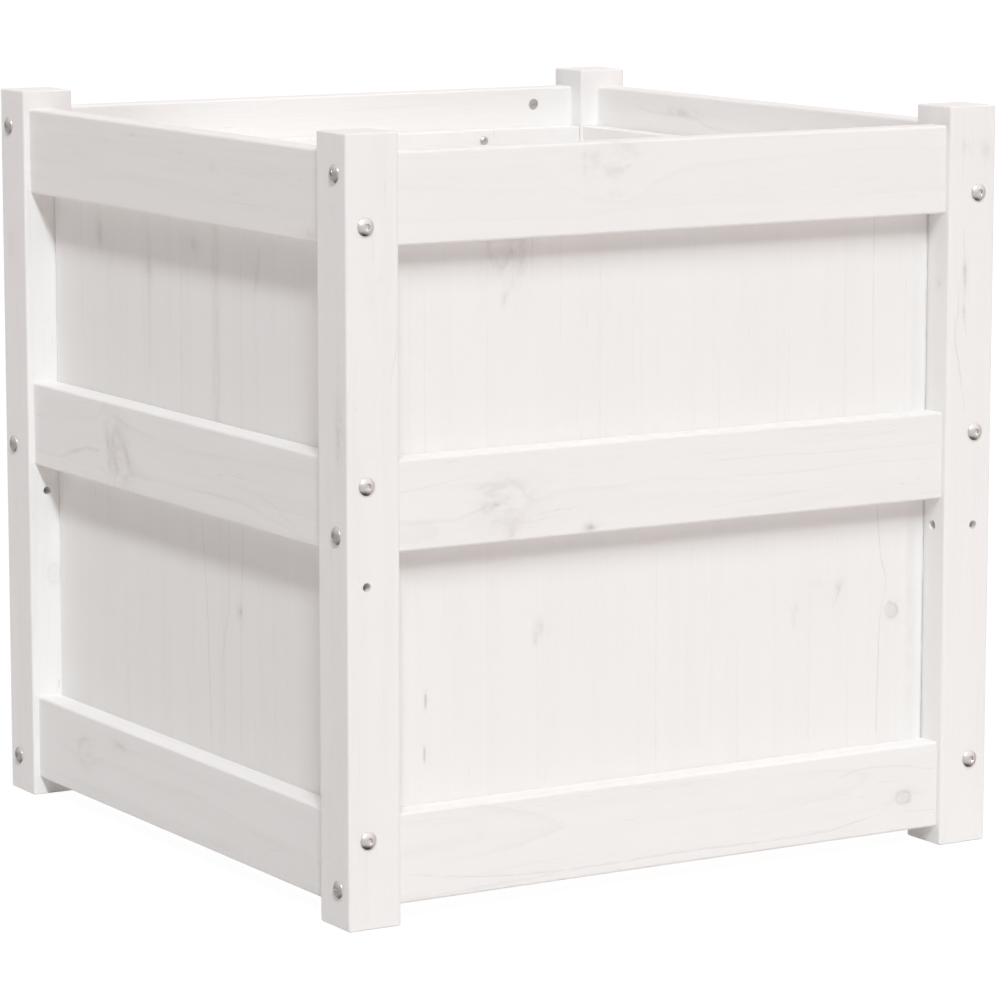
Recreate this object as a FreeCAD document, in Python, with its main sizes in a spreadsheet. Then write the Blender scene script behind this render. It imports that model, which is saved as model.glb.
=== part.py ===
import FreeCAD, Part
import os

import Sketcher
from FreeCAD import Placement, Rotation, Vector

# Square floor planter in painted pine, open at the top.
# Frame: origin on the floor at the middle of the footprint, +Z up, front face towards -Y.
# Four corner posts carry three rails on each side. A board panel stands behind the rails of
# each side, and slats lie on two battens to make the floor. Every rail end is held by one
# connector bolt with a barrel nut and one dowel.

doc = FreeCAD.newDocument("planter")

# ---------------------------------------------------------------- driving dimensions (mm)
SIZES = (
    ("width", 595.0, "outside width and depth over the posts"),
    ("height", 600.0, "height of the posts"),
    ("post_side", 45.0, "square section of a post"),
    ("post_round", 2.0, "rounding of the long edges of a post"),
    ("post_end", 0.9, "chamfer round the ends of a post"),
    ("rail_high", 70.0, "height of a rail"),
    ("rail_thick", 22.0, "thickness of a rail"),
    ("rail_round", 2.2, "rounding of the long edges of a rail"),
    ("recess", 5.5, "face of a rail behind the face of the posts"),
    ("rail_top_z", 515.0, "underside of the top rails"),
    ("rail_mid_z", 285.0, "underside of the middle rails"),
    ("rail_low_z", 15.0, "underside of the bottom rails"),
    ("panel_thick", 15.0, "thickness of a panel"),
    ("panel_low", 50.0, "lower edge of a panel"),
    ("panel_high", 500.0, "height of a panel"),
    ("panel_gap", 0.6, "gap between a panel and each post"),
    ("panel_round", 1.0, "rounding of the upper edges of a panel"),
    ("bolt_x_top", 570.0, "left and right bolts: top rail"),
    ("bolt_x_mid", 300.0, "left and right bolts: middle rail"),
    ("bolt_x_low", 30.0, "left and right bolts: bottom rail"),
    ("bolt_y_top", 531.0, "front and back bolts: top rail"),
    ("bolt_y_mid", 338.0, "front and back bolts: middle rail"),
    ("bolt_y_spare", 262.0, "hole used when the post is turned over"),
    ("bolt_y_low", 69.0, "front and back bolts: bottom rail"),
    ("bolt_hole", 7.0, "clearance hole for a bolt"),
    ("bolt_dia", 6.0, "shank of a bolt"),
    ("bolt_long", 88.0, "length of a bolt below the head"),
    ("bolt_head", 14.0, "diameter of a bolt head"),
    ("bolt_rim", 0.9, "straight rim of a bolt head"),
    ("bolt_dome", 2.5, "height of the dome above the rim"),
    ("socket_across", 4.9, "corner circle diameter of the hexagon socket"),
    ("socket_deep", 2.2, "depth of the socket"),
    ("bolt_in_rail", 48.0, "depth of the bolt hole in a rail end"),
    ("nut_hole", 10.0, "hole for a barrel nut"),
    ("nut_hole_deep", 18.0, "depth of that hole"),
    ("nut_dia", 9.8, "diameter of a barrel nut"),
    ("nut_long", 16.0, "length of a barrel nut"),
    ("nut_inset", 1.2, "end of a barrel nut below the face of the rail"),
    ("nut_end", 39.5, "barrel nut from the end of the rail"),
    ("nut_bore", 6.1, "cross bore of a barrel nut"),
    ("nut_slot", 1.4, "driver slot of a barrel nut"),
    ("dowel_dia", 8.0, "diameter of a dowel"),
    ("dowel_long", 30.0, "length of a dowel"),
    ("dowel_round", 1.0, "chamfer of a dowel end"),
    ("dowel_hole", 8.1, "hole for a dowel"),
    ("dowel_post", 12.5, "depth of the dowel hole in a post"),
    ("dowel_rail", 18.5, "depth of the dowel hole in a rail end"),
    ("screw_pitch", 152.0, "panel screws either side of the middle"),
    ("screw_top_z", 541.0, "upper row of panel screws"),
    ("screw_mid_z", 320.0, "middle row of panel screws"),
    ("screw_low_z", 68.0, "lower row of panel screws"),
    ("screw_dia", 3.8, "shank of a panel screw"),
    ("screw_long", 29.0, "length of a panel screw below the head"),
    ("screw_head", 8.0, "diameter of a panel screw head"),
    ("screw_rim", 0.6, "straight rim of a panel screw head"),
    ("screw_dome", 1.9, "height of the dome above the rim"),
    ("screw_hole", 4.2, "hole for a panel screw in a panel"),
    ("screw_pilot", 3.9, "pilot hole for a panel screw in a rail"),
    ("screw_pilot_deep", 15.0, "depth of that pilot hole"),
    ("recess_wide", 1.1, "cross recess of a screw: width of a slot"),
    ("recess_long", 4.4, "cross recess of a screw: length of a slot"),
    ("recess_deep", 1.4, "cross recess of a screw: depth"),
    ("batten_wide", 35.0, "width of a floor batten"),
    ("batten_high", 30.0, "height of a floor batten"),
    ("batten_low", 20.0, "underside of a floor batten"),
    ("batten_clear", 1.0, "gap between a batten and each post"),
    ("batten_round", 1.5, "rounding of the long edges of a batten"),
    ("batten_near", 70.0, "inner batten screws from the middle"),
    ("batten_far", 200.0, "outer batten screws from the middle"),
    ("long_screw_dia", 4.3, "shank of a batten screw"),
    ("long_screw_long", 50.0, "length of a batten screw"),
    ("long_screw_head", 8.4, "head of a batten screw"),
    ("long_screw_cone", 2.6, "height of that countersunk head"),
    ("slat_long", 504.0, "length of a floor slat"),
    ("slat_wide", 78.0, "width of a floor slat"),
    ("slat_thick", 15.0, "thickness of a floor slat"),
    ("slat_gap", 7.0, "drainage gap between slats"),
    ("slat_round", 1.5, "rounding of the long upper edges of a slat"),
    ("slat_screw_in", 243.5, "slat screws from the middle"),
    ("short_screw_dia", 3.4, "shank of a slat screw"),
    ("short_screw_long", 30.0, "length of a slat screw"),
    ("short_screw_head", 6.8, "head of a slat screw"),
    ("short_screw_cone", 2.2, "height of that countersunk head"),
    ("fit", 0.1, "clearance on the diameter of a screw in its hole"),
)

sheet = doc.addObject("Spreadsheet::Sheet", "dims")
for row, (alias, size, what) in enumerate(SIZES, 1):
    sheet.set("A%d" % row, what)
    sheet.set("B%d" % row, "%g" % size)
    sheet.setAlias("B%d" % row, alias)
doc.recompute()


class Dim:
    """A size with its present value and the sheet expression that drives it."""

    def __init__(self, value, expr):
        self.value = value
        self.expr = expr

    def _with(self, other, sign, value):
        right = other.expr if isinstance(other, Dim) else "%g" % other
        return Dim(value, "(%s %s %s)" % (self.expr, sign, right))

    @staticmethod
    def _of(other):
        return other.value if isinstance(other, Dim) else other

    def __add__(self, other):
        return self._with(other, "+", self.value + self._of(other))

    def __sub__(self, other):
        return self._with(other, "-", self.value - self._of(other))

    def __mul__(self, other):
        return self._with(other, "*", self.value * self._of(other))

    def __truediv__(self, other):
        return self._with(other, "/", self.value / self._of(other))


D = {alias: Dim(getattr(sheet, alias), "dims." + alias) for alias, _, _ in SIZES}
rail_long = D["width"] - D["post_side"] * 2
panel_long = rail_long - D["panel_gap"] * 2
bolt_line = D["recess"] + D["rail_thick"] / 2
half = D["width"] / 2
panel_face = D["recess"] + D["rail_thick"]

subparts = []


def bind(obj, prop, dim):
    """Gives a property its value and ties it to the sheet."""
    obj.setExpression(prop, dim.expr)


def bind_base(obj, x=None, y=None, z=None):
    """Ties the position of a primitive to the sheet."""
    for axis, dim in (("x", x), ("y", y), ("z", z)):
        if dim is not None:
            obj.setExpression("Placement.Base." + axis, dim.expr)


# ---------------------------------------------------------------- helpers for milled pieces
def new_body(name, placement):
    body = doc.addObject("PartDesign::Body", name)
    body.Label = name
    body.Placement = placement
    return body


def origin_plane(body, role):
    return next(f for f in body.Origin.OriginFeatures if f.Role == role)


def new_sketch(body, name, role, offset=None, sign=1):
    """A sketch on an origin plane of the body, moved along the plane's normal by sign * offset."""
    sketch = body.newObject("Sketcher::SketchObject", name)
    sketch.AttachmentSupport = [(origin_plane(body, role), "")]
    sketch.MapMode = "FlatFace"
    if offset is not None:
        sketch.AttachmentOffset = Placement(Vector(0, 0, sign * offset.value), Rotation())
        expr = offset.expr if sign > 0 else "-1 * " + offset.expr
        sketch.setExpression("AttachmentOffset.Base.z", expr)
    return sketch


def add_rectangle(sketch, wide, high):
    """A rectangle from the sketch origin, wide along its x and high along its y."""
    w, h = wide.value, high.value
    corners = (Vector(0, 0, 0), Vector(w, 0, 0), Vector(w, h, 0), Vector(0, h, 0))
    for i in range(4):
        sketch.addGeometry(Part.LineSegment(corners[i], corners[(i + 1) % 4]), False)
    for i in range(4):
        sketch.addConstraint(Sketcher.Constraint("Coincident", i, 2, (i + 1) % 4, 1))
    for i in (0, 2):
        sketch.addConstraint(Sketcher.Constraint("Horizontal", i))
    for i in (1, 3):
        sketch.addConstraint(Sketcher.Constraint("Vertical", i))
    sketch.addConstraint(Sketcher.Constraint("Coincident", 0, 1, -1, 1))
    for name, kind, line, dim in (("wide", "DistanceX", 0, wide), ("high", "DistanceY", 1, high)):
        c = sketch.addConstraint(Sketcher.Constraint(kind, line, 1, line, 2, dim.value))
        sketch.renameConstraint(c, name)
        sketch.setExpression("Constraints." + name, dim.expr)


def add_hole(sketch, tag, u, v, dia):
    """A circle at u, v. u is None for the middle, or (sign, Dim) from the origin."""
    sign, dim = (1, None) if u is None else u
    x = 0.0 if dim is None else sign * dim.value
    i = sketch.addGeometry(
        Part.Circle(Vector(x, v.value, 0), Vector(0, 0, 1), dia.value / 2), False
    )
    made = [("dia", Sketcher.Constraint("Diameter", i, dia.value), dia)]
    if dim is None:
        sketch.addConstraint(Sketcher.Constraint("PointOnObject", i, 3, -2))
    elif sign > 0:
        made.append(("u", Sketcher.Constraint("DistanceX", -1, 1, i, 3, dim.value), dim))
    else:
        made.append(("u", Sketcher.Constraint("DistanceX", i, 3, -1, 1, dim.value), dim))
    made.append(("v", Sketcher.Constraint("DistanceY", -1, 1, i, 3, v.value), v))
    for what, constraint, size in made:
        c = sketch.addConstraint(constraint)
        name = "%s_%s" % (tag, what)
        sketch.renameConstraint(c, name)
        sketch.setExpression("Constraints." + name, size.expr)


def pad(body, name, sketch, length, both_sides=False):
    feature = body.newObject("PartDesign::Pad", name)
    feature.Profile = sketch
    feature.Midplane = both_sides
    bind(feature, "Length", length)
    doc.recompute()
    return feature


def drill(body, name, sketch, depth=None, reverse=False):
    """Cuts the circles of a sketch into the body, right through or to a depth, and checks the cut."""
    before = body.Shape.Volume
    feature = body.newObject("PartDesign::Pocket", name)
    feature.Profile = sketch
    feature.Reversed = reverse
    if depth is None:
        feature.Type = "ThroughAll"
    else:
        feature.Type = "Length"
        bind(feature, "Length", depth)
    doc.recompute()
    removed = before - body.Shape.Volume
    if removed < 50.0:
        raise RuntimeError("%s %s cut only %.1f mm3" % (body.Label, name, removed))
    return feature


def edges_along(shape, direction, low=None):
    """Names of the straight edges along a direction; low keeps those whose middle passes the test."""
    names = []
    for i, edge in enumerate(shape.Edges, 1):
        if not isinstance(edge.Curve, Part.Line):
            continue
        run = edge.valueAt(edge.LastParameter) - edge.valueAt(edge.FirstParameter)
        if run.Length > 1 and abs(abs(run.normalize().dot(direction)) - 1) < 1e-6:
            if low is None or low(edge.CenterOfMass):
                names.append("Edge%d" % i)
    return names


def round_edges(body, name, base, edges, radius):
    feature = body.newObject("PartDesign::Fillet", name)
    feature.Base = (base, edges)
    bind(feature, "Radius", radius)
    doc.recompute()
    return feature


X, Y, Z = Vector(1, 0, 0), Vector(0, 1, 0), Vector(0, 0, 1)
W2, H, P = half.value, D["height"].value, D["post_side"].value

# ---------------------------------------------------------------- corner posts
# Own frame: outer faces at x = 0 and y = 0, foot at z = 0. The drilling is the same from both
# ends, so the four posts are one part, turned or turned over.
POSTS = (
    ("post_front_left", Vector(-W2, -W2, 0), Rotation()),
    ("post_front_right", Vector(W2, -W2, H), Rotation(Y, 180)),
    ("post_back_right", Vector(W2, W2, 0), Rotation(Z, 180)),
    ("post_back_left", Vector(-W2, W2, H), Rotation(X, 180)),
)
x_heights = [D[n] for n in ("bolt_x_top", "bolt_x_mid", "bolt_x_low")]
y_heights = [D[n] for n in ("bolt_y_top", "bolt_y_mid", "bolt_y_spare", "bolt_y_low")]

for name, base, turn in POSTS:
    body = new_body(name, Placement(base, turn))
    section = new_sketch(body, name + "_section", "XY_Plane")
    add_rectangle(section, D["post_side"], D["post_side"])
    blank = pad(body, name + "_blank", section, D["height"])
    rounded = round_edges(
        body, name + "_arrises", blank, edges_along(blank.Shape, Z), D["post_round"]
    )
    ends = body.newObject("PartDesign::Chamfer", name + "_ends")
    loops = [
        "Edge%d" % i
        for i, e in enumerate(rounded.Shape.Edges, 1)
        if e.BoundBox.ZLength < 1e-6 and min(abs(e.CenterOfMass.z), abs(e.CenterOfMass.z - H)) < 1e-6
    ]
    ends.Base = (rounded, loops)
    bind(ends, "Size", D["post_end"])
    doc.recompute()
    # bolts that go in through the left or right face
    sk = new_sketch(body, name + "_bolts_x", "YZ_Plane")
    for i, z in enumerate(x_heights):
        add_hole(sk, "h%d" % i, (1, bolt_line), z, D["bolt_hole"])
    drill(body, name + "_bolt_holes_x", sk, None, True)
    # bolts that go in through the front or back face, with the spare
    sk = new_sketch(body, name + "_bolts_y", "XZ_Plane")
    for i, z in enumerate(y_heights):
        add_hole(sk, "h%d" % i, (1, bolt_line), z, D["bolt_hole"])
    drill(body, name + "_bolt_holes_y", sk, None)
    # dowel holes in the two inner faces
    sk = new_sketch(body, name + "_dowels_x", "YZ_Plane", D["post_side"])
    for i, z in enumerate(y_heights):
        add_hole(sk, "h%d" % i, (1, bolt_line), z, D["dowel_hole"])
    drill(body, name + "_dowel_holes_x", sk, D["dowel_post"])
    sk = new_sketch(body, name + "_dowels_y", "XZ_Plane", D["post_side"], -1)
    for i, z in enumerate(x_heights):
        add_hole(sk, "h%d" % i, (1, bolt_line), z, D["dowel_hole"])
    drill(body, name + "_dowel_holes_y", sk, D["dowel_post"], True)
    subparts.append(body)

# ---------------------------------------------------------------- rails
# Own frame: length along x about the middle, outer face at y = 0, underside at z = 0.
SIDES = (
    # side, turn about Z, outward direction, bolts of its rails run along x or y
    ("front", 0, Vector(0, -1, 0), "x"),
    ("right", 90, Vector(1, 0, 0), "y"),
    ("back", 180, Vector(0, 1, 0), "x"),
    ("left", -90, Vector(-1, 0, 0), "y"),
)
LEVELS = (
    ("top", "rail_top_z", "screw_top_z"),
    ("middle", "rail_mid_z", "screw_mid_z"),
    ("bottom", "rail_low_z", "screw_low_z"),
)
SHORT = {"top": "top", "middle": "mid", "bottom": "low"}


def side_place(turn, depth, z):
    """Where a side's own frame sits: its outer face lies depth inside the outside of the posts."""
    turned = Rotation(Z, turn)
    return Placement(turned.multVec(Vector(0, -(W2 - depth), 0)) + Vector(0, 0, z), turned)


for side, turn, out, run in SIDES:
    for level, low, screw_z in LEVELS:
        name = "rail_%s_%s" % (side, level)
        body = new_body(name, side_place(turn, D["recess"].value, D[low].value))
        other = "y" if run == "x" else "x"
        bolt_z = D["bolt_%s_%s" % (run, SHORT[level])] - D[low]
        dowel_z = D["bolt_%s_%s" % (other, SHORT[level])] - D[low]
        section = new_sketch(body, name + "_section", "YZ_Plane")
        add_rectangle(section, D["rail_thick"], D["rail_high"])
        blank = pad(body, name + "_blank", section, rail_long, True)
        round_edges(
            body, name + "_arrises", blank, edges_along(blank.Shape, X), D["rail_round"]
        )
        middle = D["rail_thick"] / 2
        sk = new_sketch(body, name + "_bolt", "YZ_Plane", rail_long / 2)
        add_hole(sk, "h", (1, middle), bolt_z, D["bolt_hole"])
        bolt_hole = drill(body, name + "_bolt_hole", sk, D["bolt_in_rail"])
        sk = new_sketch(body, name + "_dowel", "YZ_Plane", rail_long / 2)
        add_hole(sk, "h", (1, middle), dowel_z, D["dowel_hole"])
        dowel_hole = drill(body, name + "_dowel_hole", sk, D["dowel_rail"])
        before = body.Shape.Volume
        both = body.newObject("PartDesign::Mirrored", name + "_both_ends")
        both.Originals = [bolt_hole, dowel_hole]
        both.MirrorPlane = (origin_plane(body, "YZ_Plane"), [""])
        body.Tip = both
        doc.recompute()
        if before - body.Shape.Volume < 500:
            raise RuntimeError(name + ": the second end was not drilled")
        sk = new_sketch(body, name + "_nuts", "XZ_Plane", D["rail_thick"], -1)
        for sign in (-1, 1):
            add_hole(sk, "n%d" % (sign + 1), (sign, rail_long / 2 - D["nut_end"]), bolt_z, D["nut_hole"])
        drill(body, name + "_nut_holes", sk, D["nut_hole_deep"], True)
        sk = new_sketch(body, name + "_pilots", "XZ_Plane", D["rail_thick"], -1)
        for i, u in enumerate(((-1, D["screw_pitch"]), None, (1, D["screw_pitch"]))):
            add_hole(sk, "p%d" % i, u, D[screw_z] - D[low], D["screw_pilot"])
        drill(body, name + "_pilot_holes", sk, D["screw_pilot_deep"], True)
        if level == "bottom" and run == "y":
            sk = new_sketch(body, name + "_batten_pilots", "XZ_Plane", D["rail_thick"], -1)
            at = D["batten_low"] + D["batten_high"] / 2 - D[low]
            for i, u in enumerate(("batten_near", "batten_far")):
                for sign in (-1, 1):
                    add_hole(sk, "b%d%d" % (i, sign + 1), (sign, D[u]), at, D["long_screw_dia"] + D["fit"])
            drill(body, name + "_batten_holes", sk, D["screw_pilot_deep"] + 1, True)
        subparts.append(body)

# ---------------------------------------------------------------- side panels
# Own frame: length along x about the middle, outer face at y = 0, lower edge at z = 0.
for side, turn, out, run in SIDES:
    name = "panel_" + side
    body = new_body(name, side_place(turn, panel_face.value, D["panel_low"].value))
    section = new_sketch(body, name + "_section", "YZ_Plane")
    add_rectangle(section, D["panel_thick"], D["panel_high"])
    blank = pad(body, name + "_blank", section, panel_long, True)
    high = D["panel_high"].value
    round_edges(
        body,
        name + "_arrises",
        blank,
        edges_along(blank.Shape, X, lambda c: c.z > high / 2),
        D["panel_round"],
    )
    sk = new_sketch(body, name + "_screws", "XZ_Plane")
    for k, (level, low, screw_z) in enumerate(LEVELS):
        for i, u in enumerate(((-1, D["screw_pitch"]), None, (1, D["screw_pitch"]))):
            add_hole(sk, "s%d%d" % (k, i), u, D[screw_z] - D["panel_low"], D["screw_hole"])
    drill(body, name + "_screw_holes", sk, None)
    subparts.append(body)

# ---------------------------------------------------------------- floor
# Battens lie along the left and right bottom rails, under the panels. Own frame: length along x
# about the middle, face against the rail at y = 0, underside at z = 0.
batten_long = rail_long - D["batten_clear"] * 2
slat_step = D["slat_wide"] + D["slat_gap"]
slat_rows = [(-1, 2.5), (-1, 1.5), (-1, 0.5), (1, 0.5), (1, 1.5), (1, 2.5)]
screw_line = half - D["slat_screw_in"] - panel_face
for side, turn, out, run in SIDES:
    if run != "y":
        continue
    name = "floor_batten_" + side
    body = new_body(name, side_place(turn, panel_face.value, D["batten_low"].value))
    section = new_sketch(body, name + "_section", "YZ_Plane")
    add_rectangle(section, D["batten_wide"], D["batten_high"])
    blank = pad(body, name + "_blank", section, batten_long, True)
    wide = D["batten_wide"].value
    round_edges(
        body,
        name + "_arrises",
        blank,
        edges_along(blank.Shape, X, lambda c: c.y > wide / 2),
        D["batten_round"],
    )
    sk = new_sketch(body, name + "_side_screws", "XZ_Plane")
    for i, u in enumerate(("batten_near", "batten_far")):
        for sign in (-1, 1):
            add_hole(
                sk, "b%d%d" % (i, sign + 1), (sign, D[u]), D["batten_high"] / 2, D["long_screw_dia"] + D["fit"]
            )
    drill(body, name + "_side_holes", sk, None)
    sk = new_sketch(body, name + "_heads", "XZ_Plane", D["batten_wide"], -1)
    for i, u in enumerate(("batten_near", "batten_far")):
        for sign in (-1, 1):
            add_hole(
                sk, "c%d%d" % (i, sign + 1), (sign, D[u]), D["batten_high"] / 2, D["long_screw_head"] + D["fit"]
            )
    drill(body, name + "_head_holes", sk, D["long_screw_cone"] + D["fit"], True)
    sk = new_sketch(body, name + "_top_screws", "XY_Plane", D["batten_high"])
    for i, (sign, step) in enumerate(slat_rows):
        add_hole(sk, "t%d" % i, (sign, slat_step * step), screw_line, D["short_screw_dia"] + D["fit"])
    drill(body, name + "_top_holes", sk, D["short_screw_long"] - D["slat_thick"] + 1)
    subparts.append(body)

# Slats lie across the battens, left to right.
slat_z = D["batten_low"] + D["batten_high"]
for i, (sign, step) in enumerate(slat_rows, 1):
    name = "floor_slat_%d" % i
    board = doc.addObject("Part::Box", name + "_board")
    bind(board, "Length", D["slat_long"])
    bind(board, "Width", D["slat_wide"])
    bind(board, "Height", D["slat_thick"])
    bind_base(board, D["slat_long"] * -0.5, D["slat_wide"] * -0.5)
    doc.recompute()
    eased = doc.addObject("Part::Fillet", name + "_eased")
    eased.Base = board
    top = D["slat_thick"].value
    eased.Edges = [
        (int(e[4:]), D["slat_round"].value, D["slat_round"].value)
        for e in edges_along(board.Shape, X, lambda c: c.z > top - 1)
    ]
    tools = []
    for end, at in ((-1, "left"), (1, "right")):
        shaft = doc.addObject("Part::Cylinder", "%s_shaft_%s" % (name, at))
        bind(shaft, "Radius", (D["short_screw_dia"] + D["fit"]) / 2)
        bind(shaft, "Height", D["slat_thick"])
        bind_base(shaft, D["slat_screw_in"] * end)
        sink = doc.addObject("Part::Cone", "%s_sink_%s" % (name, at))
        bind(sink, "Radius1", (D["short_screw_dia"] + D["fit"]) / 2)
        bind(sink, "Radius2", (D["short_screw_head"] + D["fit"]) / 2)
        bind(sink, "Height", D["short_screw_cone"])
        bind_base(sink, D["slat_screw_in"] * end, None, D["slat_thick"] - D["short_screw_cone"])
        tools += [shaft, sink]
    holes = doc.addObject("Part::MultiFuse", name + "_holes")
    holes.Shapes = tools
    slat = doc.addObject("Part::Cut", name)
    slat.Label = name
    slat.Base, slat.Tool = eased, holes
    slat.Placement = Placement(Vector(0, sign * step * slat_step.value, slat_z.value), Rotation())
    doc.recompute()
    subparts.append(slat)


# ---------------------------------------------------------------- fasteners
# Masters stand on the origin with their head or open end towards +Z.
def cylinder(name, radius, height, z=None):
    c = doc.addObject("Part::Cylinder", name)
    bind(c, "Radius", radius)
    bind(c, "Height", height)
    bind_base(c, None, None, z)
    return c


def domed_head(name, dia, rim, dome):
    """A round head on the plane z = 0: a straight rim and a spherical dome on it."""
    base = cylinder(name + "_rim", dia / 2, rim)
    column = cylinder(name + "_column", dia / 2, dome, rim)
    radius = (dia * dia / 4 + dome * dome) / (dome * 2)
    ball = doc.addObject("Part::Sphere", name + "_ball")
    bind(ball, "Radius", radius)
    bind_base(ball, None, None, rim + dome - radius)
    cap = doc.addObject("Part::Common", name + "_cap")
    cap.Base, cap.Tool = column, ball
    return base, cap


def cross_tools(name, top):
    """Two crossed slots cut down from the height top."""
    tools = []
    for tag, along, across in (("a", "recess_long", "recess_wide"), ("b", "recess_wide", "recess_long")):
        slot = doc.addObject("Part::Box", "%s_slot_%s" % (name, tag))
        bind(slot, "Length", D[along])
        bind(slot, "Width", D[across])
        bind(slot, "Height", D["recess_deep"] + 1)
        bind_base(slot, D[along] * -0.5, D[across] * -0.5, top - D["recess_deep"])
        tools.append(slot)
    return tools


def fuse(name, shapes):
    f = doc.addObject("Part::MultiFuse", name)
    f.Shapes = shapes
    return f


def cut(name, base, tool):
    c = doc.addObject("Part::Cut", name)
    c.Base, c.Tool = base, tool
    return c


# connector bolt: domed head with a hexagon socket
bolt_top = D["bolt_rim"] + D["bolt_dome"]
rim, cap = domed_head("bolt", D["bolt_head"], D["bolt_rim"], D["bolt_dome"])
shank = cylinder("bolt_shank", D["bolt_dia"] / 2, D["bolt_long"], D["bolt_long"] * -1)
socket = doc.addObject("Part::Prism", "bolt_socket")
socket.Polygon = 6
bind(socket, "Circumradius", D["socket_across"] / 2)
bind(socket, "Height", D["socket_deep"] + 1)
bind_base(socket, None, None, bolt_top - D["socket_deep"])
bolt = cut("bolt_master", fuse("bolt_blank", [rim, cap, shank]), socket)

# barrel nut: cylinder with a cross bore along x and a driver slot in the open end
nut_body = cylinder("nut_body", D["nut_dia"] / 2, D["nut_long"], D["nut_long"] * -1)
nut_bore = cylinder("nut_cross", D["nut_bore"] / 2, D["nut_dia"] * 2)
nut_bore.Placement = Placement(Vector(), Rotation(Y, 90))
bind_base(nut_bore, D["nut_dia"] * -1, None, D["nut_inset"] - D["rail_thick"] / 2)
nut_slot = doc.addObject("Part::Box", "nut_driver")
bind(nut_slot, "Length", D["nut_dia"] * 2)
bind(nut_slot, "Width", D["nut_slot"])
bind(nut_slot, "Height", D["nut_slot"] * 2)
bind_base(nut_slot, D["nut_dia"] * -1, D["nut_slot"] * -0.5, D["nut_slot"] * -1)
nut = cut("nut_master", nut_body, fuse("nut_tools", [nut_bore, nut_slot]))

# dowel: turned peg, its middle of length at the origin
peg = cylinder("dowel_peg", D["dowel_dia"] / 2, D["dowel_long"], D["dowel_long"] * -0.5)
doc.recompute()
dowel = doc.addObject("Part::Chamfer", "dowel_master")
dowel.Base = peg
dowel.Edges = [
    (i, D["dowel_round"].value, D["dowel_round"].value)
    for i, e in enumerate(peg.Shape.Edges, 1)
    if e.Closed and isinstance(e.Curve, Part.Circle)
]

# panel screw: pan head with a cross recess
screw_top = D["screw_rim"] + D["screw_dome"]
rim, cap = domed_head("screw", D["screw_head"], D["screw_rim"], D["screw_dome"])
shank = cylinder("screw_shank", D["screw_dia"] / 2, D["screw_long"], D["screw_long"] * -1)
screw = cut(
    "screw_master",
    fuse("screw_blank", [rim, cap, shank]),
    fuse("screw_recess", cross_tools("screw", screw_top)),
)


def sunk_screw(name, dia, length, head, cone):
    """Countersunk screw with its head level with z = 0."""
    sink = doc.addObject("Part::Cone", name + "_head")
    bind(sink, "Radius1", dia / 2)
    bind(sink, "Radius2", head / 2)
    bind(sink, "Height", cone)
    bind_base(sink, None, None, cone * -1)
    rod = cylinder(name + "_shank", dia / 2, length, length * -1)
    tools = fuse(name + "_recess", cross_tools(name, D["fit"] * 0))
    return cut(name + "_master", fuse(name + "_blank", [sink, rod]), tools)


long_screw = sunk_screw(
    "long_screw", D["long_screw_dia"], D["long_screw_long"], D["long_screw_head"], D["long_screw_cone"]
)
short_screw = sunk_screw(
    "short_screw", D["short_screw_dia"], D["short_screw_long"], D["short_screw_head"], D["short_screw_cone"]
)
doc.recompute()


def group(name, master, places):
    """A node of separate copies of one fastener."""
    node = doc.addObject("Part::Feature", name)
    node.Label = name
    copies = []
    for place in places:
        copy = master.Shape.copy()
        copy.Placement = place.multiply(copy.Placement)
        copies.append(copy)
    node.Shape = Part.makeCompound(copies)
    subparts.append(node)


line = bolt_line.value
for side, turn, out, run in SIDES:
    along = Vector(abs(out.y), abs(out.x), 0)
    # bolt heads on this side hold the ends of the rails that run away from it
    heights = [D["bolt_%s_%s" % ("x" if out.x else "y", s)].value for s in ("top", "mid", "low")]
    places = [
        Placement(out * W2 + along * (sign * (W2 - line)) + Z * z, Rotation(Z, out))
        for sign in (-1, 1)
        for z in heights
    ]
    group("bolts_" + side, bolt, places)

for side, turn, out, run in SIDES:
    along = Vector(abs(out.y), abs(out.x), 0)
    inward = out * -1
    turned = Rotation(along, Vector(0, 0, 0), inward, "ZXY")
    heights = [D["bolt_%s_%s" % (run, s)].value for s in ("top", "mid", "low")]
    reach = rail_long.value / 2 - D["nut_end"].value
    depth = panel_face.value - D["nut_inset"].value
    group(
        "barrel_nuts_" + side,
        nut,
        [
            Placement(out * (W2 - depth) + along * (sign * reach) + Z * z, turned)
            for sign in (-1, 1)
            for z in heights
        ],
    )

for side, turn, out, run in SIDES:
    along = Vector(abs(out.y), abs(out.x), 0)
    other = "y" if run == "x" else "x"
    heights = [D["bolt_%s_%s" % (other, s)].value for s in ("top", "mid", "low")]
    play = (D["dowel_post"].value + D["dowel_rail"].value - D["dowel_long"].value) / 2
    centre = rail_long.value / 2 + D["dowel_post"].value - play - D["dowel_long"].value / 2
    group(
        "dowels_" + side,
        dowel,
        [
            Placement(out * (W2 - line) + along * (sign * centre) + Z * z, Rotation(Z, along))
            for sign in (-1, 1)
            for z in heights
        ],
    )

for side, turn, out, run in SIDES:
    along = Vector(abs(out.y), abs(out.x), 0)
    depth = panel_face.value + D["panel_thick"].value
    group(
        "panel_screws_" + side,
        screw,
        [
            Placement(out * (W2 - depth) + along * (k * D["screw_pitch"].value) + Z * D[z].value, Rotation(Z, out * -1))
            for k in (-1, 0, 1)
            for _, _, z in LEVELS
        ],
    )

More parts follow.
